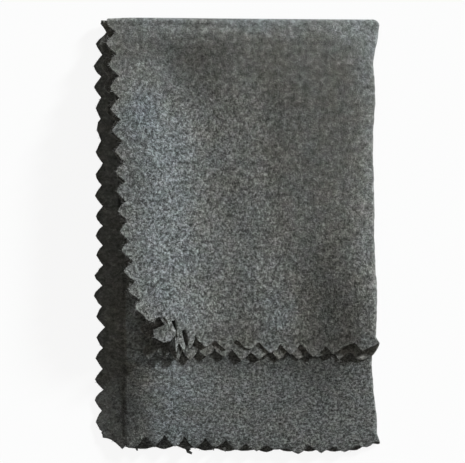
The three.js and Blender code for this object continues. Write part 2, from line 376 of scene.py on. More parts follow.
INNER_THIN_RUN = (105.0, 111.0)
INNER_CURL = 0.5
INNER_FOLD_CURL = (0.25, 43.0, 5.0)
INNER_CURL_RUN = (108.0, 113.0)
OUTER_CLIMB = 0.7
OUTER_GAP = 0.1
OUTER_THINNING = 0.6
OUTER_THIN_RUN = (103.0, 110.5)
OUTER_LOFT = 1.7
OUTER_LOFT_LOSS = 1.1
SETTLED_RUN = (84.0, 106.0)
SETTLED_ACROSS = (-24.0, -8.0)
TOP_RUN = 4.0
SIDE_RUN = 5.0
SIDE_REACH = 1.0
OPEN_RUN = (62.0, 100.0)
OPEN_LIFT = (2.2, 0.0, 13.0)
SWELLING = 1.7
SWELLING_RUN = 4.8
SWELLING_ACROSS = (1.0, -17.0, 17.0)
FURROW = (-0.4, 12.0, 4.5)
FURROW_LEAN = 0.06
FURROW_RUN = (14.0, 30.0)
OUTER_WAVES = {"count": 8, "longest": 70.0, "shortest": 20.0, "seed": 23}
OUTER_WAVES_RUN = 20.0


def left_climb(x, y):
    """How far the flap climbs to its free left edge: level, then an even slope, then level at the crest."""
    down = TOP_FOLD_Y - y
    foot_shift = np.exp(-np.clip(down - CLIMB_FOOT_DOWN, 0.0, None) / CLIMB_FOOT_RUN)
    foot = CLIMB_FOOT_X - CLIMB_FOOT_SHIFT * foot_shift
    crest = CLIMB_CREST_X - CLIMB_CREST_SHIFT * ramp(down, *CLIMB_CREST_RUN)
    crest = np.minimum(crest, foot - CLIMB_LEAST_WIDTH)
    slope = soft_above(foot - x, CLIMB_FOOT_SOFTNESS) - soft_above(crest - x, CLIMB_CREST_SOFTNESS)
    sag = CLIMB_SAG * ramp(down, *CLIMB_SAG_RUN)
    return CLIMB_SLOPE * slope * ramp(down, 0.0, CLIMB_START_RUN) * (1.0 - sag)


def settle_up(distance, run):
    """The height beside a pressed fold: 1 less the exponential of minus the distance over the run."""
    return 1.0 - np.exp(-np.clip(distance, 0.0, None) / run)


def puff(distance, run):
    """The swelling beside a loose fold: the distance over the run, times e to the power of 1 less that.

    It is none at the fold and 1 at the run from it, and dies away beyond.
    """
    share = np.clip(distance, 0.0, None) / run
    return share * np.exp(1.0 - share)


def inner_flap_height(x, y):
    """The inner ply lies on the front panel, and the climbing ply above draws it up a little.

    Its lower edge is thinner, and curls up, most of all at the side fold.
    """
    down = TOP_FOLD_Y - y
    under = front_height(np.maximum(x, crease_x(y) + RIDGE_START), y)
    flat_end = ramp(x, *INNER_FLAT_END)
    thinner = (INNER_THINNING + INNER_FLAT_THINNING * flat_end) * ramp(down, *INNER_THIN_RUN)
    curled = (INNER_CURL * (1.0 - flat_end) + hump(x, *INNER_FOLD_CURL)) * ramp(down, *INNER_CURL_RUN)
    return under + CLOTH_THICKNESS + PLY_GAP - thinner + curled + INNER_CLIMB * left_climb(x, y)


def outer_flap_height(x, y):
    """The outer ply lies on the inner one. It rounds off to both folds, with a swelling behind the top one.

    Its side fold stands open at the lower end, its left edge climbs, and a furrow runs down its middle.
    """
    down = TOP_FOLD_Y - y
    side = SIDE_FOLD_X + SIDE_REACH - x
    open_end = ramp(down, *OPEN_RUN)
    behind_top = hump(x, *SWELLING_ACROSS)
    to_side = open_end + (1.0 - open_end) * settle_up(side, SIDE_RUN)
    settled = 1.0 - ramp(down, *SETTLED_RUN) * ramp(x, *SETTLED_ACROSS)
    folds = (OUTER_LOFT - OUTER_LOFT_LOSS * behind_top) * settle_up(down, TOP_RUN) * to_side * settled
    swelling = SWELLING * behind_top * puff(down, SWELLING_RUN)
    lifted = open_end * hump(side, *OPEN_LIFT)
    furrow = hump(x + FURROW_LEAN * y, *FURROW) * ramp(down, *FURROW_RUN) * (1.0 - open_end)
    swell = SWELL * low_waves(x, y, **OUTER_WAVES) * ramp(down, 0.0, OUTER_WAVES_RUN)
    thinner = OUTER_THINNING * ramp(down, *OUTER_THIN_RUN)
    on_inner = inner_flap_height(x, y) + CLOTH_THICKNESS + OUTER_GAP - thinner
    return on_inner + folds + swelling + lifted + furrow + OUTER_CLIMB * left_climb(x, y) + swell


# The flap's inner ply. It is the front panel's own cloth, carried on past the top fold, and its teeth show
# below the outer ply's. It narrows down the flap, and its threads crowd to the left as it does.
INNER_LENGTH = 110.7
INNER_WIDTH_LOSS = 16.5
INNER_CROWDING = 0.2
CROWDING_POWER = 4
INNER_CREASE_RUN = 0.2
FOLD_TAIL = 1.6
FOLD_TAIL_TEETH = 1.5
CORNER_SPREAD = 2.4
CORNER_SPREAD_RUN = 0.13
FLAP_FOLD_HUMPS = ((1.0, 25.0, 10.0), (0.7, 63.0, 16.0))
INNER_SEED = 107

flap_share = (flap_rows / FLAP_TEETH)[:, None]
flap_along = INNER_LENGTH * flap_share
flap_fold_shift = CORNER_SPREAD * (1.0 - ramp(flap_share, 0.0, CORNER_SPREAD_RUN))
flap_fold_shift = flap_fold_shift + sum(hump(flap_along, *each) for each in FLAP_FOLD_HUMPS)
even_share = front_columns / FRONT_TEETH
crowded_share = even_share + INNER_CROWDING * (even_share - even_share**CROWDING_POWER) * flap_share
below_fold = ramp(flap_share, 0.0, INNER_CREASE_RUN)
inner_share = crowded_share * below_fold + to_crease(front_columns, 0.0) / FRONT_WIDTH * (1.0 - below_fold)
inner_plan = panel(
    across=(FRONT_WIDTH - INNER_WIDTH_LOSS * flap_share) * inner_share - top_tuck(front_columns, flap_along),
    along=flap_along + FOLD_TAIL * flap_share * (1.0 - ramp(front_columns, 0.0, FOLD_TAIL_TEETH)),
    teeth_across=front_columns,
    teeth_along=flap_rows,
    depth_left=TOOTH_DEPTH,
    depth_down=TOOTH_DEPTH,
    fold_shift=flap_fold_shift,
    seed=INNER_SEED,
)
inner_flap = raised(inner_plan, inner_flap_height)

# The flap's outer ply. Its lower cut isn't straight: between two worn teeth at the side fold and the corner,
# where the shears slipped and left slits, a split sliver, a blunt tooth and a hollow, it has plain teeth.
# Places in plan are given by tooth number, for the last row above the teeth and for the cut at the corner.
OUTER_LENGTH = 105.0
OUTER_WIDTH_LOSS = 5.4
OUTER_NARROWING = ((-0.9, 0.3, 0.45), (-0.9, 0.05, 0.15))
OUTER_DRIFT = (0.25, 5.5, 3.5)
OUTER_SIDE_DEPTH = 3.2
OUTER_SIDE_WEAR = ((-0.85, 13.6, 14.4),)
OUTER_TOOTH_DEPTH = 3.4
OUTER_FIRST_TOOTH = 0.5
OUTER_SEED = 109
OUTER_CUT_SEED = 113
TOOTH_ROWS = 3
PULL_START = 9.2
PULL_POWER = 2.2
ROW_ABOVE_TEETH = np.array(
    [
        (0.5, 45.8, -34.2), (2, 40.1, -33.9), (3, 30.5, -34.4), (4, 21.8, -34.2), (5, 15.0, -33.7),
        (6, 7.8, -32.8), (7, 0.0, -32.5), (8, -7.5, -31.7), (9, -14.0, -31.2), (9.5, -15.7, -31.7),
        (9.83, -16.8, -32.1), (9.92, -17.6, -31.6), (10, -18.8, -31.9), (10.08, -19.0, -32.4),
        (10.5, -19.5, -31.7), (10.75, -19.9, -31.0), (10.83, -20.3, -29.9), (10.92, -20.9, -27.9),
        (11, -22.2, -28.2), (11.08, -22.6, -28.7), (11.5, -22.8, -30.6), (11.83, -23.0, -31.2),
        (12, -23.4, -30.0), (12.17, -25.4, -27.5), (12.33, -27.8, -28.1), (12.5, -30.5, -28.5),
    ]
)
CORNER_CUT = np.array(
    [
        (9.0, -14.0, -34.2), (9.17, -14.5, -35.9), (9.33, -15.3, -37.7), (9.5, -15.9, -38.5),
        (9.67, -16.4, -38.1), (9.83, -16.3, -36.7), (9.92, -17.4, -32.2), (10.0, -18.8, -32.5),
        (10.08, -17.8, -36.9), (10.17, -17.4, -37.9), (10.33, -17.8, -40.1), (10.5, -19.3, -37.0),
        (10.58, -19.9, -37.0), (10.67, -20.5, -40.0), (10.75, -20.9, -35.2), (10.83, -20.15, -32.9),
        (10.92, -20.9, -28.8), (11.0, -22.3, -29.3), (11.08, -20.6, -33.0), (11.17, -20.9, -34.2),
        (11.33, -22.4, -36.0), (11.5, -24.8, -36.4), (11.67, -27.9, -34.7), (11.83, -28.2, -32.2),
        (12.0, -24.2, -30.6), (12.17, -26.2, -27.6), (12.33, -27.3, -28.4), (12.5, -28.0, -29.6),
    ]
)
WORN_CUT = np.array(
    [
        (48.2, -37.0), (47.2, -37.6), (46.2, -38.1), (45.2, -38.5), (44.2, -38.8), (43.4, -39.2),
        (42.7, -39.5), (41.9, -38.6), (41.1, -37.5), (40.3, -36.8), (38.7, -37.2), (36.5, -38.3),
        (34.0, -40.0), (32.7, -40.6), (31.7, -39.3), (30.5, -37.9),
    ]
)

outer_teeth = back_columns + OUTER_FIRST_TOOTH
outer_width = BACK_WIDTH + BACK_WIDTH_GAIN - OUTER_WIDTH_LOSS * flap_share
outer_width = outer_width + stepped(flap_share, OUTER_NARROWING)
outer_across = outer_width * back_columns / BACK_TEETH
outer_along = OUTER_LENGTH / FLAP_TEETH * (flap_rows + hump(flap_rows, *OUTER_DRIFT))[:, None]
outer_plan = panel(
    across=outer_across,
    along=outer_along,
    teeth_across=outer_teeth,
    teeth_along=flap_rows,
    depth_left=OUTER_SIDE_DEPTH * (1.0 + stepped(flap_rows, OUTER_SIDE_WEAR)),
    depth_down=0.0,
    fold_shift=flap_fold_shift,
    seed=OUTER_SEED,
)


def by_tooth(table):
    """Places in plan for every outer column, straight between the table's tooth numbers."""
    return np.stack([np.interp(outer_teeth, table[:, 0], table[:, axis]) for axis in (1, 2)], axis=-1)


above_teeth = len(flap_rows) - 1 - TOOTH_ROWS
base_line = by_tooth(ROW_ABOVE_TEETH)
even_x = SIDE_FOLD_X - outer_across[above_teeth]
even_y = np.full_like(even_x, TOP_FOLD_Y - outer_along[above_teeth, 0])
pulled = np.clip((flap_rows - PULL_START) / (flap_rows[above_teeth] - PULL_START), 0.0, 1.0) ** PULL_POWER
outer_plan = outer_plan + (base_line - np.stack([even_x, even_y], axis=-1)) * pulled[:, None, None]
cut_line = base_line.copy()
cut_line[:, 1] -= TOOTH_ROWS * THREAD_STEP * PITCH_ALONG + frayed(outer_teeth, OUTER_CUT_SEED)
cut_line[:, 1] -= OUTER_TOOTH_DEPTH * tooth_wave(outer_teeth)
cut_line[:len(WORN_CUT)] = WORN_CUT
at_corner = outer_teeth >= CORNER_CUT[0, 0]
cut_line[at_corner] = by_tooth(CORNER_CUT)[at_corner]
tooth_shares = (np.arange(TOOTH_ROWS) + 1.0)[:, None, None] / TOOTH_ROWS
outer_plan[above_teeth + 1:] = base_line + (cut_line - base_line) * tooth_shares
outer_flap = raised(outer_plan, outer_flap_height)

# The fold loops. Where a panel turns over into the next one, the cloth runs round an open half loop. The
# side fold is looped first, in each half, and then both halves are joined by the loop of the top fold.
# Each column and row of the whole sheet is marked with the panel or the fold that it is in.
SIDE_BEND_STEPS = 12
TOP_BEND_STEPS = 14
FRONT, SIDE_BEND, BACK = range(3)
LOWER, TOP_BEND, FLAP = range(3)
WITHOUT_X = np.array([0.0, 1.0, 1.0])
LEAST_LENGTH = 1e-9


def bend_shares(count):
    """Shares of a bend between its two ends, leaving the ends to the panels."""
    return np.linspace(0.0, 1.0, count + 1)[1:-1]


def bend(first, last, first_way, last_way, count):
    """A loop of cloth from the points first to last, tangent to the panels at both ends.

    It is a cubic through both ends that leaves along first_way, comes back along last_way, and stands out by
    half the gap between the plies, as a half round does.
    """
    share = bend_shares(count)[:, None, None]
    reach = 2.0 * np.abs(last[..., 2:] - first[..., 2:])
    leave = share**3 - 2.0 * share**2 + share
    arrive = share**2 - share**3
    blend = 3.0 * share**2 - 2.0 * share**3
    return first + (last - first) * blend + reach * (leave * first_way + arrive * last_way)


def unit(vectors):
    """The same vectors, each scaled to length 1."""
    return vectors / np.maximum(np.linalg.norm(vectors, axis=-1, keepdims=True), LEAST_LENGTH)


def with_side_bend(inner, outer):
    """A half of the cloth: inner panel from its left edge to the fold, the loop, and the outer panel back."""
    inner_way = unit(inner[:, 0] - inner[:, 1])
    outer_way = unit(outer[:, 0] - outer[:, 1])
    loop = bend(inner[:, 0], outer[:, 0], inner_way, outer_way, SIDE_BEND_STEPS)
    return np.concatenate([inner[:, ::-1], loop.transpose(1, 0, 2), outer], axis=1)


lower_half = with_side_bend(front, back)
flap_half = with_side_bend(inner_flap, outer_flap)
lower_way = unit((lower_half[0] - lower_half[1]) * WITHOUT_X)
flap_way = unit((flap_half[0] - flap_half[1]) * WITHOUT_X)
top_loop = bend(lower_half[0], flap_half[0], lower_way, flap_way, TOP_BEND_STEPS)
middle_points = np.concatenate([lower_half[::-1], top_loop, flap_half], axis=0)
row_count, column_count = middle_points.shape[:2]
lower_count, flap_count = len(lower_rows), len(flap_rows)
front_count, back_count = len(front_columns), len(back_columns)
column_zone = np.repeat([FRONT, SIDE_BEND, BACK], [front_count, SIDE_BEND_STEPS - 1, back_count])
row_zone = np.repeat([LOWER, TOP_BEND, FLAP], [lower_count, TOP_BEND_STEPS - 1, flap_count])

# The two faces and the cut edge. The cloth is brushed on both faces, and its cut edge is soft, so the faces
# are set off from the middle to each side, thinner near the cut, and a rounded rim closes them all round.
MM = 0.001
RIM_BULGE = 0.15
EDGE_STEPS = 4.0
EDGE_THINNING = 0.55
SLOPE_STEP = 0.02


def upward(plan, height):
    """The upward normals of a panel, from the slope of its height at each place in plan."""
    x, y = plan[..., 0], plan[..., 1]
    slope_x = (height(x + SLOPE_STEP, y) - height(x - SLOPE_STEP, y)) / (2.0 * SLOPE_STEP)
    slope_y = (height(x, y + SLOPE_STEP) - height(x, y - SLOPE_STEP)) / (2.0 * SLOPE_STEP)
    return unit(np.stack([-slope_x, -slope_y, np.ones_like(x)], axis=-1))


face_normal = unit(np.cross(np.gradient(middle_points, axis=1), np.gradient(middle_points, axis=0)))
face_normal[:lower_count, :front_count] = upward(front_plan, front_height)[::-1, ::-1]
face_normal[:lower_count, -back_count:] = -upward(back_plan, back_height)[::-1]
face_normal[-flap_count:, :front_count] = -upward(inner_plan, inner_flap_height)[:, ::-1]
face_normal[-flap_count:, -back_count:] = upward(outer_plan, outer_flap_height)
row_steps = np.minimum(np.arange(row_count), np.arange(row_count)[::-1])
column_steps = np.minimum(np.arange(column_count), np.arange(column_count)[::-1])
edge_steps = np.minimum(row_steps[:, None], column_steps[None, :])
half_thickness = CLOTH_THICKNESS / 2 * (1.0 - EDGE_THINNING * (1.0 - ramp(edge_steps, 0.0, EDGE_STEPS)))
outer_face = middle_points + face_normal * half_thickness[..., None]
inner_face = middle_points - face_normal * half_thickness[..., None]

face_size = row_count * column_count
index = np.arange(face_size).reshape(row_count, column_count)
edge_loop = np.concatenate([index[0, :-1], index[:-1, -1], index[-1, :0:-1], index[:0:-1, 0]])
edge_points = middle_points.reshape(-1, 3)[edge_loop]
edge_normal = face_normal.reshape(-1, 3)[edge_loop]
edge_tangent = unit(np.roll(edge_points, -1, axis=0) - np.roll(edge_points, 1, axis=0))
edge_outward = unit(np.cross(edge_tangent, edge_normal))
rim_points = edge_points + RIM_BULGE * edge_outward
rim_index = 2 * face_size + np.arange(len(edge_loop))
edge_next = np.roll(edge_loop, -1)
rim_next = np.roll(rim_index, -1)
quads = np.stack([index[:-1, :-1], index[:-1, 1:], index[1:, 1:], index[1:, :-1]], axis=-1).reshape(-1, 4)
faces = np.concatenate(
    [
        quads,
        quads[:, ::-1] + face_size,
        np.stack([edge_next, edge_loop, rim_index, rim_next], axis=-1),
        np.stack([rim_next, rim_index, edge_loop + face_size, edge_next + face_size], axis=-1),
    ]
)
points = np.concatenate([outer_face.reshape(-1, 3), inner_face.reshape(-1, 3), rim_points]) * MM

# Flat place on the sheet, in millimetres, for the pattern of the cloth: each panel as it lies, opened out,
# with the loops at their own length between. The threads show more on the lower half, so its pattern is
# drawn closer along the sheet.
LOWER_CLOSE = 1.3
SIDE_BEND_LENGTH = PITCH_ACROSS / 2
TOP_BEND_LENGTH = PITCH_ALONG
FRONT_LENGTH = FRONT_TEETH * PITCH_ACROSS
LOWER_LENGTH = LOWER_TEETH * PITCH_ALONG

columns, rows = np.meshgrid(column_zone, row_zone)
front_end = front_count - 1
back_start = column_count - back_count
flap_start = row_count - flap_count


def way_from(start, axis):
    """Lengths along the threads of one direction, followed round the folds from the thread start."""
    moves = np.diff(middle_points, axis=axis, prepend=middle_points.take([0], axis))
    way = np.cumsum(np.linalg.norm(moves, axis=-1), axis=axis)
    return way - way.take([start], axis)


from_side = SIDE_FOLD_X - middle_points[..., 0]
from_top = TOP_FOLD_Y - middle_points[..., 1]
panel_u = np.where(columns == FRONT, FRONT_LENGTH - from_side, FRONT_LENGTH + SIDE_BEND_LENGTH + from_side)
panel_v = np.where(
    rows == LOWER, LOWER_LENGTH - LOWER_CLOSE * from_top, LOWER_LENGTH + TOP_BEND_LENGTH + from_top
)
loop_u = np.where(
    rows == LOWER,
    panel_u[:, [front_end]] + way_from(front_end, 1),
    panel_u[:, [back_start]] + way_from(back_start, 1),
)
flat_u = np.where(columns == SIDE_BEND, loop_u, panel_u)
flat_v = np.where(rows == TOP_BEND, panel_v[[flap_start]] + way_from(flap_start, 0), panel_v)

# Painted light and shade, laid on in strokes. Where the cloth is paler or darker here, it stands for how the
# light
# falls: the shade on the strip past the crease, a dark line along the crease and under the flap's lower edge,
# and the paler top fold and left side of the flap. In part it is also the lay of the brushed nap. Each stroke
# has a place in plan, a half width and half length, and how much paler it makes the cloth. The strip past the
# crease, the rest of the lower half, the inner ply and the outer ply have their own.
STRIP_PAINTED_LIGHT = (
    (-44.5, -10.0, 6.0, 200.0, -0.1), (-40.8, -62.0, 2.8, 14.0, -0.25), (-40.0, -45.0, 2.5, 50.0, -0.12),
    (-38.6, -45.0, 0.7, 60.0, -0.3),
)
LOWER_PAINTED_LIGHT = (
    (-36.0, -58.0, 4.5, 18.0, -0.45), (-22.0, -62.0, 11.0, 30.0, 0.24), (27.0, -53.0, 18.0, 16.0, -0.26),
    (12.0, -44.0, 30.0, 5.0, -0.3), (-36.5, -31.0, 4.0, 11.0, 0.7), (-35.0, -41.5, 5.0, 3.5, 0.4),
    (-28.0, -42.2, 8.0, 2.8, 0.3), (-38.4, -45.0, 0.7, 60.0, -0.75), (-8.0, -43.2, 10.0, 1.3, -0.3),
    (32.0, -46.0, 9.0, 6.0, -0.2), (-35.0, -47.8, 4.0, 3.5, -0.2),
)
INNER_PAINTED_LIGHT = (
    (-44.5, 10.0, 8.0, 200.0, -0.25), (-24.0, -37.5, 7.0, 3.0, -0.45), (6.0, -38.8, 30.0, 2.8, -0.3),
)
OUTER_PAINTED_LIGHT = (
    (-24.5, 5.0, 15.0, 45.0, 0.22), (-14.0, 59.5, 19.0, 13.0, -0.38), (47.0, 68.0, 13.0, 14.0, 0.38),
    (12.0, 73.0, 44.0, 5.5, 0.36), (30.0, 29.0, 10.0, 37.0, -0.13), (31.0, -19.0, 10.5, 16.0, -0.38),
    (6.5, -15.5, 13.5, 24.0, 0.18), (45.0, 29.0, 4.0, 44.0, 0.18), (-0.5, 42.5, 6.0, 17.0, 0.12),
    (-33.0, 41.0, 7.0, 13.0, 0.32), (33.0, -35.0, 11.0, 8.0, -0.22), (16.0, 41.0, 7.0, 14.0, -0.17),
    (25.0, -7.0, 8.0, 10.0, -0.24), (16.0, -26.0, 7.0, 11.0, 0.27), (1.5, -32.0, 6.0, 6.0, -0.24),
    (-33.0, 17.0, 5.0, 9.0, -0.14), (35.0, 41.0, 6.0, 12.0, -0.14), (7.5, 7.0, 4.5, 6.0, 0.14),
    (42.0, -12.0, 4.0, 12.0, 0.12), (-41.0, 63.0, 4.0, 7.0, -0.2), (-26.0, -31.4, 3.4, 2.2, -0.6),
    (43.0, -35.5, 3.5, 4.0, 0.2),
)


def stroked(strokes):
    """All the strokes together, each a soft oval patch that falls off with the square of the distance."""
    place_x, place_y, half_width, half_length, amount = np.array(strokes).T
    off_x = (middle_points[..., :1] - place_x) / half_width
    off_y = (middle_points[..., 1:2] - place_y) / half_length
    return (amount * np.exp(-(off_x**2) - off_y**2)).sum(axis=-1)


past_crease = np.arange(column_count) < np.count_nonzero(front_columns > CREASE_TOOTH)
# Painted light and shade on each point, from the strokes of its part of the cloth.
lay_and_painted_light = np.select(
    [(rows == LOWER) & past_crease, rows == LOWER, (rows == FLAP) & (columns == FRONT)],
    [stroked(STRIP_PAINTED_LIGHT), stroked(LOWER_PAINTED_LIGHT), stroked(INNER_PAINTED_LIGHT)],
    stroked(OUTER_PAINTED_LIGHT),
)

# How deep the nap stands, by strokes again, and a painted tint of the light. The nap is deeper on the lower
# half and to the flap's left edge, and pressed flatter along the top fold and the right side. The painted
# tint is cooler on the lower half and down the flap's left side, where the cool light falls, and warmer in
# the shade right of the crease. The cut edge is paler on the flap, and darker on the lower half.
LOWER_DEPTHS = (
    (-44.0, -10.0, 7.0, 200.0, -0.6), (10.0, -60.0, 50.0, 40.0, 0.5), (30.0, -55.0, 20.0, 25.0, 0.6),
)
FLAP_DEPTHS = (
    (-26.0, 5.0, 18.0, 60.0, 0.35), (0.0, 63.0, 60.0, 18.0, -0.55), (32.0, 35.0, 18.0, 34.0, -0.5),
    (10.0, -20.0, 40.0, 25.0, 0.2),
)
LOWER_LIGHT_TINT = 0.12
LOWER_LIGHT_TINTS = ((-22.0, -62.0, 12.0, 30.0, 0.05), (-35.0, -35.0, 6.0, 14.0, -0.35))
FLAP_LIGHT_TINT = -0.12
FLAP_LIGHT_TINTS = (
    (-26.0, 20.0, 12.0, 60.0, 0.32), (46.0, 70.0, 12.0, 14.0, -0.12), (-18.0, -22.0, 8.0, 14.0, 0.1),
)
LOWER_CUT_TONE = -1.5
FLAP_CUT_TONE = 1.0
CUT_TONE_FADE = 0.6

nap_depth = 1.0 + np.where(rows == LOWER, stroked(LOWER_DEPTHS), stroked(FLAP_DEPTHS))
# A painted tint of the light on each point: cooler where the cool light falls, warmer in shade.
painted_light_tint = np.where(rows == LOWER, LOWER_LIGHT_TINT + stroked(LOWER_LIGHT_TINTS), FLAP_LIGHT_TINT + stroked(FLAP_LIGHT_TINTS))
near_cut = np.clip(1.0 - CUT_TONE_FADE * edge_steps, 0.0, 1.0)
cut_edge = np.where(rows == LOWER, LOWER_CUT_TONE, FLAP_CUT_TONE) * near_cut

# The cloth as one mesh. It is the sheet just as it was cut and folded, all in one piece, with its flat place
# as the map of its pattern, and its nap, its painted light and shade and its painted tint as values on its
# points.
# Only the cut edge is creased, on both faces.


def for_all_points(values):
    """A value of each thread crossing, repeated for both faces and the rim."""
    flat = values.reshape(face_size, -1)
    return np.concatenate([flat, flat, flat[edge_loop]]).astype(np.float32)


def edge_number(ends):
    """One number for each edge of the mesh, made up of its lower and its higher point number."""
    low, high = np.sort(ends.astype(np.int64), axis=1).T
    return low * len(points) + high


def placed(name, data):
    """A new object of the scene, at the origin, that shows the data."""
    thing = bpy.data.objects.new(name, data)
    bpy.context.scene.collection.objects.link(thing)
    return thing


mesh = bpy.data.meshes.new("brushed_cloth")
mesh.from_pydata(points, [], faces)
mesh.polygons.foreach_set("use_smooth", np.ones(len(faces), bool))
mesh_edges = np.empty((len(mesh.edges), 2), np.int32)
mesh.edges.foreach_get("vertices", mesh_edges.ravel())
cut_line_ends = np.stack([edge_loop, edge_next], axis=1)
both_cut_lines = np.concatenate([cut_line_ends, cut_line_ends + face_size])
is_cut = np.isin(edge_number(mesh_edges), edge_number(both_cut_lines))
mesh.attributes.new("sharp_edge", "BOOLEAN", "EDGE").data.foreach_set("value", is_cut)
flat_place = for_all_points(np.stack([flat_u, flat_v], axis=-1))
mesh.uv_layers.new(name="sheet").data.foreach_set("uv", flat_place[faces.ravel()].ravel())
cloth_values = {"cut_edge": cut_edge, "lay_and_painted_light": lay_and_painted_light, "nap_depth": nap_depth, "painted_light_tint": painted_light_tint}
for value_name, values in cloth_values.items():
    on_points = mesh.attributes.new(value_name, "FLOAT", "POINT")
    on_points.data.foreach_set("value", for_all_points(values).ravel())
cloth = placed("folded_cloth", mesh)

# The cloth's own stuff: dark and light fibres felted together, so the grey is heathered, and the brushed
# face is a nap of curled fibre ends over small tufts. It is matt, with the faint sheen of its fibres. Its
# colour also carries the painted light and shade and the painted tint of the light from its points.
DARK_FIBRE = (0.046, 0.046, 0.044, 1.0)
MIDDLE_FIBRE = (0.178, 0.180, 0.178, 1.0)
LIGHT_FIBRE = (0.56, 0.575, 0.58, 1.0)
SHADE_PAINTED_TONE = (0.32, 0.315, 0.293, 1.0)
UNPAINTED_TONE = (0.64, 0.635, 0.605, 1.0)
LIGHT_PAINTED_TONE = (0.90, 0.965, 1.0, 1.0)
WARM_FELT_AND_SHADE = (1.035, 1.0, 0.96, 1.0)
COOL_FELT_AND_LIGHT = (0.965, 1.0, 1.04, 1.0)
MOSS_FELT = (0.975, 1.015, 0.975, 1.0)
MAUVE_FELT = (1.02, 0.985, 1.02, 1.0)
UNPAINTED_LEVEL = 0.5
NAP_LEVEL = 0.44
NOISE_MIDDLE = 0.5
LONG_CURL_SHARE = 0.45
SHORT_CURL_SHARE = 0.55
TUFT_HEIGHT = 0.8
CURL_HEIGHT = 0.26
CLUMP_TONE = 0.32
PATCH_TONE = 0.10
CUT_TONE = 0.05
NAP_RELIEF = 0.5
CLOTH_ROUGHNESS = 0.95
CLOTH_GLOSS = 0.15
CLOTH_SHEEN = 0.15
SHEEN_ROUGHNESS = 0.5


def set_inputs(node, values):
    """Sets inputs of a node, by name, to plain values."""
    for input_name, value in values.items():
        node.inputs[input_name].default_value = value


def new_material(name, values):
    """A material whose one shader has the given values."""
    stuff = bpy.data.materials.new(name)
    stuff.use_nodes = True
    set_inputs(stuff.node_tree.nodes["Principled BSDF"], values)
    return stuff


material = new_material(
    "brushed_grey_cloth",
    {
        "Roughness": CLOTH_ROUGHNESS,
        "Specular IOR Level": CLOTH_GLOSS,
        "Sheen Weight": CLOTH_SHEEN,
        "Sheen Roughness": SHEEN_ROUGHNESS,
    },
)
nodes = material.node_tree.nodes
links = material.node_tree.links
shader = nodes["Principled BSDF"]
sheet_place = nodes.new("ShaderNodeUVMap")
sheet_place.uv_map = "sheet"


def noise(scale, detail, rough, distortion=0.0):
    """A noise over the flat sheet; scale is its features to a millimetre."""
    node = nodes.new("ShaderNodeTexNoise")
    node.noise_dimensions = "2D"
    set_inputs(node, {"Scale": scale, "Detail": detail, "Roughness": rough, "Distortion": distortion})
    links.new(sheet_place.outputs["UV"], node.inputs["Vector"])
    return node.outputs["Fac"]


def combine(kind, first, second):
    """One arithmetic node on two values, each a plain number or another node's output."""
    node = nodes.new("ShaderNodeMath")
    node.operation = kind
    for socket, value in zip(node.inputs, (first, second)):
        if isinstance(value, float):
            socket.default_value = value
        else:
            links.new(value, socket)
    return node.outputs[0]


def weighed(first, first_share, second, second_share):
    """Two values added, each times its share."""
    return combine("ADD", combine("MULTIPLY", first, first_share), combine("MULTIPLY", second, second_share))


def varied(value, by, amount):
    """A value raised and lowered by a noise: plus the amount times how far the noise is off its middle."""
    off_middle = combine("SUBTRACT", by, NOISE_MIDDLE)
    return combine("ADD", value, combine("MULTIPLY", off_middle, amount))


def curls(scale, distortion, width):
    """Curled fibres: thin lines along a noise's middle level, 1 on the line and 0 past its width."""
    level = noise(scale, detail=1.0, rough=0.5, distortion=distortion)
    off_line = combine("ABSOLUTE", combine("SUBTRACT", level, NOISE_MIDDLE), 0.0)
    node = nodes.new("ShaderNodeMapRange")
    node.interpolation_type = "SMOOTHSTEP"
    set_inputs(node, {"From Min": 0.0, "From Max": width, "To Min": 1.0, "To Max": 0.0})
    links.new(off_line, node.inputs["Value"])
    return node.outputs["Result"]


def on_cloth(value_name):
    """One of the values that the cloth carries on its points."""
    node = nodes.new("ShaderNodeAttribute")
    node.attribute_name = value_name
    return node.outputs["Fac"]


def ramped(value, stops):
    """Colours along a value: each stop is its place from 0 to 1 and its colour."""
    node = nodes.new("ShaderNodeValToRGB")
    elements = node.color_ramp.elements
    elements[0].position, elements[0].color = stops[0]
    elements[1].position, elements[1].color = stops[-1]
    for position, colour in stops[1:-1]:
        elements.new(position).color = colour
    links.new(value, node.inputs["Fac"])
    return node.outputs["Color"]


def multiplied(first, second):
    """Two colours multiplied."""
    node = nodes.new("ShaderNodeMix")
    node.data_type = "RGBA"
    node.blend_type = "MULTIPLY"
    node.inputs["Factor"].default_value = 1.0
    links.new(first, node.inputs["A"])
    links.new(second, node.inputs["B"])
    return node.outputs["Result"]


tufts = noise(scale=1.0, detail=2.0, rough=0.8, distortion=0.4)
clumps = noise(scale=0.46, detail=1.0, rough=0.5, distortion=0.4)
patches = noise(scale=0.05, detail=4.0, rough=0.6)
felt = noise(scale=0.09, detail=3.0, rough=0.7)
strands = noise(scale=0.2, detail=3.0, rough=0.7)
long_curls = curls(scale=0.7, distortion=1.2, width=0.06)
short_curls = curls(scale=1.3, distortion=1.4, width=0.08)
all_curls = weighed(long_curls, LONG_CURL_SHARE, short_curls, SHORT_CURL_SHARE)
piled = weighed(tufts, TUFT_HEIGHT, all_curls, CURL_HEIGHT)
deep = combine("MULTIPLY", combine("SUBTRACT", piled, NAP_LEVEL), on_cloth("nap_depth"))
nap = combine("ADD", deep, NAP_LEVEL)

toned = varied(varied(nap, clumps, CLUMP_TONE), patches, PATCH_TONE)
with_cut = combine("ADD", toned, combine("MULTIPLY", on_cloth("cut_edge"), CUT_TONE))
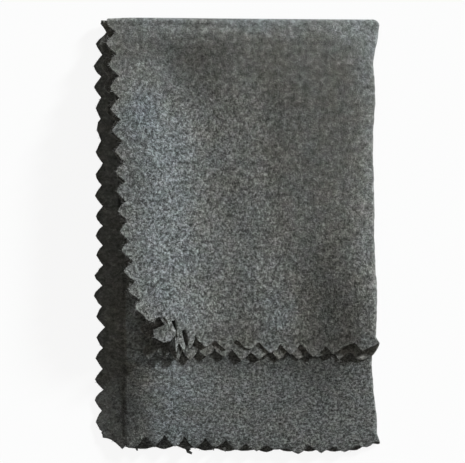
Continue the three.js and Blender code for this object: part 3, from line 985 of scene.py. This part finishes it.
# Painted light and shade make the colour paler or darker, and the painted tint of the light cools or warms
# it.
painted_light_level = combine("ADD", on_cloth("lay_and_painted_light"), UNPAINTED_LEVEL)
felt_and_light_tint = combine("ADD", felt, on_cloth("painted_light_tint"))
fibre_colour = ramped(with_cut, ((0.25, DARK_FIBRE), (0.48, MIDDLE_FIBRE), (0.80, LIGHT_FIBRE)))
painted_light_colour = ramped(painted_light_level, ((0.0, SHADE_PAINTED_TONE), (UNPAINTED_LEVEL, UNPAINTED_TONE), (1.0, LIGHT_PAINTED_TONE)))
felt_and_light_colour = ramped(felt_and_light_tint, ((0.25, WARM_FELT_AND_SHADE), (0.75, COOL_FELT_AND_LIGHT)))
strand_colour = ramped(strands, ((0.3, MOSS_FELT), (0.7, MAUVE_FELT)))
tint_colour = multiplied(felt_and_light_colour, strand_colour)
links.new(multiplied(multiplied(fibre_colour, painted_light_colour), tint_colour), shader.inputs["Base Color"])
relief = nodes.new("ShaderNodeBump")
set_inputs(relief, {"Strength": 1.0, "Distance": NAP_RELIEF * MM})
links.new(nap, relief.inputs["Height"])
links.new(relief.outputs["Normal"], shader.inputs["Normal"])
mesh.materials.append(material)

# The frayed ends. Fine fibre ends stand out all along the cut edges that show, and a few threads and tufts
# have come loose at the torn corner and the lower edge. Each is a closed tube of three sides, rooted in the
# cloth. A thread or tuft is its root, its way and its bow in plan, its length and its radius.
FIBRES_TO_A_MM = 6.0
LONG_FIBRE = 0.55
SHORT_FIBRE = 0.25
FIBRE_LENGTH_SPREAD = 0.4
FIBRE_RADIUS = 0.05
FIBRE_TAPER = 0.6
FIBRE_ROOT = 0.15
FIBRE_LEVEL = 0.4
FIBRE_LEAN_ALONG = 0.8
FIBRE_LEAN_UP = 0.45
FIBRE_CURL = (0.4, 0.4, 0.15)
FIBRE_RINGS = 4
FIBRE_SIDES = 3
FIBRE_ROUGHNESS = 0.9
FIBRE_GLOSS = 0.15
FIBRE_SHADES = (0.5, 0.9, 1.6)
FIBRE_SEED = 211
FLAP_FIBRE_COLOUR = (0.24, 0.24, 0.235)
LOWER_FIBRE_COLOUR = (0.07, 0.07, 0.067)
OFF_AXIS = (0.31, 0.38, 0.87)
ABOVE_TABLE = 0.05
THREAD_DIP = -0.15
BARE_TEETH = (9.7, 11.2)
FLAP_THREADS = ((-17.9, -37.0, -0.25, -0.97, -0.1, 0.0, 5.2, 0.2),)
LOWER_THREADS = (
    (-15.9, -72.9, -2.0, -0.7, 2.3, -0.2, 2.2, 1.1), (-7.9, -72.8, 0.05, -1.0, 0.1, 0.0, 1.1, 0.35),
    (-4.2, -73.0, 0.2, -1.0, 0.2, 0.0, 1.2, 0.7), (-34.2, -72.4, 0.1, -1.0, 0.1, 0.0, 1.5, 0.7),
)

fibre_draw = np.random.default_rng(FIBRE_SEED)
edge_row, edge_column = np.divmod(edge_loop, column_count)
on_lower = row_zone[edge_row] == LOWER
on_flap = row_zone[edge_row] == FLAP
at_outer_edge = edge_column == column_count - 1
at_inner_edge = edge_column == 0
edge_teeth = np.concatenate([np.zeros(back_start), outer_teeth])[edge_column]
in_slits = (edge_row == row_count - 1) & (edge_teeth > BARE_TEETH[0]) & (edge_teeth < BARE_TEETH[1])
fibre_length = np.where(at_outer_edge & on_flap, LONG_FIBRE, SHORT_FIBRE)


def tubes(roots, ways, bows, lengths, radii):
    """Points and triangles of thin tubes, each along its way from its root and bent off by its bow.

    The bend grows with the square of the length gone, and the tube tapers evenly to its far end.
    """
    share = np.linspace(0.0, 1.0, FIBRE_RINGS)[None, :, None]
    middle = roots[:, None] + lengths[:, None, None] * (ways[:, None] * share + bows[:, None] * share**2)
    along = unit(ways[:, None] + 2.0 * bows[:, None] * share)
    side = unit(np.cross(along, OFF_AXIS))
    turn = 2.0 * math.pi * np.arange(FIBRE_SIDES)[:, None] / FIBRE_SIDES
    ring = np.cos(turn) * side[:, :, None] + np.sin(turn) * np.cross(along, side)[:, :, None]
    reach = radii[:, None, None] * (1.0 - FIBRE_TAPER * share)
    place = middle[:, :, None] + reach[..., None] * ring
    place[..., 2] = np.maximum(place[..., 2], ABOVE_TABLE)
    number = np.arange(place[..., 0].size).reshape(place.shape[:3])
    here, there = number[:, :-1], number[:, 1:]
    here_next, there_next = np.roll(here, -1, axis=2), np.roll(there, -1, axis=2)
    walls = np.stack([here, here_next, there_next, here, there_next, there], axis=-1).reshape(-1, 3)
    ends = np.concatenate([number[:, 0, ::-1], number[:, -1]])
    return place.reshape(-1, 3), np.concatenate([walls, ends])


def frayed_piece(name, shown, threads, height, body, colour):
    """Fibres along the shown part of the cut edge, and loose threads, as one piece that rides on a body.

    The fibres start anywhere along the edge, at any level of its thickness. Each stands out from the edge,
    leans along it and up or down by chance, and has one of a few shades of the colour.
    """
    stretches = np.linalg.norm(np.roll(edge_points, -1, axis=0) - edge_points, axis=-1) * shown
    so_far = np.concatenate([[0.0], np.cumsum(stretches)])
    at = fibre_draw.uniform(0.0, so_far[-1], int(so_far[-1] * FIBRES_TO_A_MM))
    count = len(at)
    before = np.searchsorted(so_far, at, side="right") - 1
    after = (before + 1) % len(edge_points)
    share = ((at - so_far[before]) / stretches[before])[:, None]
    normal = edge_normal[before]
    outward = unit(edge_outward[before] * (1.0 - share) + edge_outward[after] * share)
    level = fibre_draw.uniform(-FIBRE_LEVEL, FIBRE_LEVEL, (count, 1)) * CLOTH_THICKNESS
    on_edge = edge_points[before] * (1.0 - share) + edge_points[after] * share
    roots = on_edge + level * normal - FIBRE_ROOT * outward
    lean_along = fibre_draw.normal(0.0, FIBRE_LEAN_ALONG, (count, 1)) * edge_tangent[before]
    lean_up = fibre_draw.normal(0.0, FIBRE_LEAN_UP, (count, 1)) * normal
    ways = unit(outward + (lean_along + lean_up))
    lengths = fibre_length[before] * fibre_draw.lognormal(0.0, FIBRE_LENGTH_SPREAD, count)
    bows = fibre_draw.normal(0.0, FIBRE_CURL, (count, 3))
    thread_x, thread_y, way_x, way_y, bow_x, bow_y, thread_length, thread_radius = np.array(threads).T
    thread_root = np.stack([thread_x, thread_y, height(thread_x, thread_y)], axis=-1)
    thread_way = np.stack([way_x, way_y, np.full(len(threads), THREAD_DIP)], axis=-1)
    thread_bow = np.stack([bow_x, bow_y, np.zeros(len(threads))], axis=-1)
    place, triangles = tubes(
        roots=np.concatenate([roots, thread_root]),
        ways=np.concatenate([ways, thread_way]),
        bows=np.concatenate([bows, thread_bow]),
        lengths=np.concatenate([lengths, thread_length]),
        radii=np.concatenate([np.full(count, FIBRE_RADIUS), thread_radius]),
    )
    fibre_mesh = bpy.data.meshes.new(name)
    fibre_mesh.from_pydata(place * MM, [], triangles)
    for shade in FIBRE_SHADES:
        shaded = (*(shade * part for part in colour), 1.0)
        fibre_look = {"Base Color": shaded, "Roughness": FIBRE_ROUGHNESS, "Specular IOR Level": FIBRE_GLOSS}
        fibre_mesh.materials.append(new_material(name, fibre_look))
    tube_number = triangles[:, 0] // (FIBRE_RINGS * FIBRE_SIDES)
    fibre_mesh.polygons.foreach_set("material_index", tube_number % len(FIBRE_SHADES))
    piece = placed(name, fibre_mesh)
    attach(piece, body)
    return piece


lower_fibres = frayed_piece(
    "lower_edge_fibres", on_lower & ~at_outer_edge, LOWER_THREADS, front_height, "lower", LOWER_FIBRE_COLOUR
)
flap_fibres = frayed_piece(
    "flap_edge_fibres", on_flap & ~at_inner_edge & ~in_slits, FLAP_THREADS, outer_flap_height, "flap",
    FLAP_FIBRE_COLOUR,
)

# Where it rides. The lower half follows the body on the table and the flap the body that opens, and the
# top fold turns evenly between them along its own loop.
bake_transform(cloth, "lower", "flap", start=(0, TOP_FOLD_Y * MM, 0), end=(0, TOP_FOLD_Y * MM, 0.006))
row_turn = np.concatenate([np.zeros(lower_count), bend_shares(TOP_BEND_STEPS), np.ones(flap_count)])
turn = for_all_points(np.repeat(row_turn, column_count))
mesh.attributes["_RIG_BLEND"].data.foreach_set("value", turn.ravel())
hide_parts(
    "back_panel", "lower_front_panel", "lower_side_fold", "flap_inner_panel", "flap_outer_panel",
    "flap_side_fold", "inner_top_fold", "outer_top_fold", "top_corner_fold",
)

# The table and the light: a pale floor that shows white to the camera but keeps a light shadow, one low
# soft light from the upper right, as the photograph has, and an even dim sky.
TABLE_HALF = 3.0
TABLE_DROP = 0.0001
TABLE_COLOUR = (0.85, 0.85, 0.85, 1.0)
TABLE_ROUGHNESS = 0.9
TABLE_WHITENESS = 0.9
SUN_AZIMUTH = math.radians(38)
SUN_HEIGHT = math.radians(18)
SUN_WIDTH = math.radians(8)
SUN_STRENGTH = 6.15
SUN_COLOUR = (0.95, 1.0, 1.02)
SKY_COLOUR = (1.0, 0.97, 0.88, 1.0)
SKY_STRENGTH = 0.27


def white_to_view(tree, shader_output, whiteness):
    """Mixes a shader with plain white for the rays that look at it: straight, mirrored or through glass."""
    rays = tree.nodes.new("ShaderNodeLightPath")
    seen = rays.outputs["Is Camera Ray"]
    for ray in ("Is Glossy Ray", "Is Transmission Ray"):
        more = tree.nodes.new("ShaderNodeMath")
        tree.links.new(seen, more.inputs[0])
        tree.links.new(rays.outputs[ray], more.inputs[1])
        seen = more.outputs[0]
    share = tree.nodes.new("ShaderNodeMath")
    share.operation = "MULTIPLY"
    share.inputs[1].default_value = whiteness
    tree.links.new(seen, share.inputs[0])
    white = tree.nodes.new("ShaderNodeEmission")
    mix = tree.nodes.new("ShaderNodeMixShader")
    tree.links.new(share.outputs[0], mix.inputs["Fac"])
    tree.links.new(shader_output, mix.inputs[1])
    tree.links.new(white.outputs["Emission"], mix.inputs[2])
    return mix.outputs["Shader"]


floor_corners = [(x * TABLE_HALF, y * TABLE_HALF, 0) for x, y in ((-1, -1), (1, -1), (1, 1), (-1, 1))]
floor_mesh = bpy.data.meshes.new("table_top")
floor_mesh.from_pydata(floor_corners, [], [(0, 1, 2, 3)])
floor = placed("table_top", floor_mesh)
floor.location.z = -TABLE_DROP
floor_material = new_material("pale_table", {"Base Color": TABLE_COLOUR, "Roughness": TABLE_ROUGHNESS})
floor_tree = floor_material.node_tree
floor_shader = floor_tree.nodes["Principled BSDF"]
seen_floor = white_to_view(floor_tree, floor_shader.outputs["BSDF"], TABLE_WHITENESS)
floor_tree.links.new(seen_floor, floor_tree.nodes["Material Output"].inputs["Surface"])
floor_mesh.materials.append(floor_material)

sun_data = bpy.data.lights.new("window", "SUN")
sun_data.energy = SUN_STRENGTH
sun_data.angle = SUN_WIDTH
sun_data.color = SUN_COLOUR
sun = placed("window", sun_data)
sun.rotation_euler = (0, math.pi / 2 - SUN_HEIGHT, SUN_AZIMUTH)

world = bpy.data.worlds.new("room")
bpy.context.scene.world = world
world.use_nodes = True
sky = world.node_tree.nodes["Background"]
set_inputs(sky, {"Color": SKY_COLOUR, "Strength": SKY_STRENGTH})
seen_sky = white_to_view(world.node_tree, sky.outputs["Background"], 1.0)
world.node_tree.links.new(seen_sky, world.node_tree.nodes["World Output"].inputs["Surface"])

# The camera. It looks straight down from above, from far enough that the cloth's heights hardly shift it,
# with the photograph's framing.
VIEW_WIDTH = 0.1587
VIEW_CENTRE = (-0.00137, 0.00102)
VIEW_HEIGHT = 0.7
CLOTH_HEIGHT = 0.004
SENSOR_WIDTH = 36.0

camera_data = bpy.data.cameras.new("camera")
camera_data.sensor_width = SENSOR_WIDTH
camera_data.lens = SENSOR_WIDTH * VIEW_HEIGHT / VIEW_WIDTH
camera = placed("camera", camera_data)
camera.location = (*VIEW_CENTRE, VIEW_HEIGHT + CLOTH_HEIGHT)
bpy.context.scene.camera = camera
bpy.context.scene.view_settings.view_transform = "Standard"
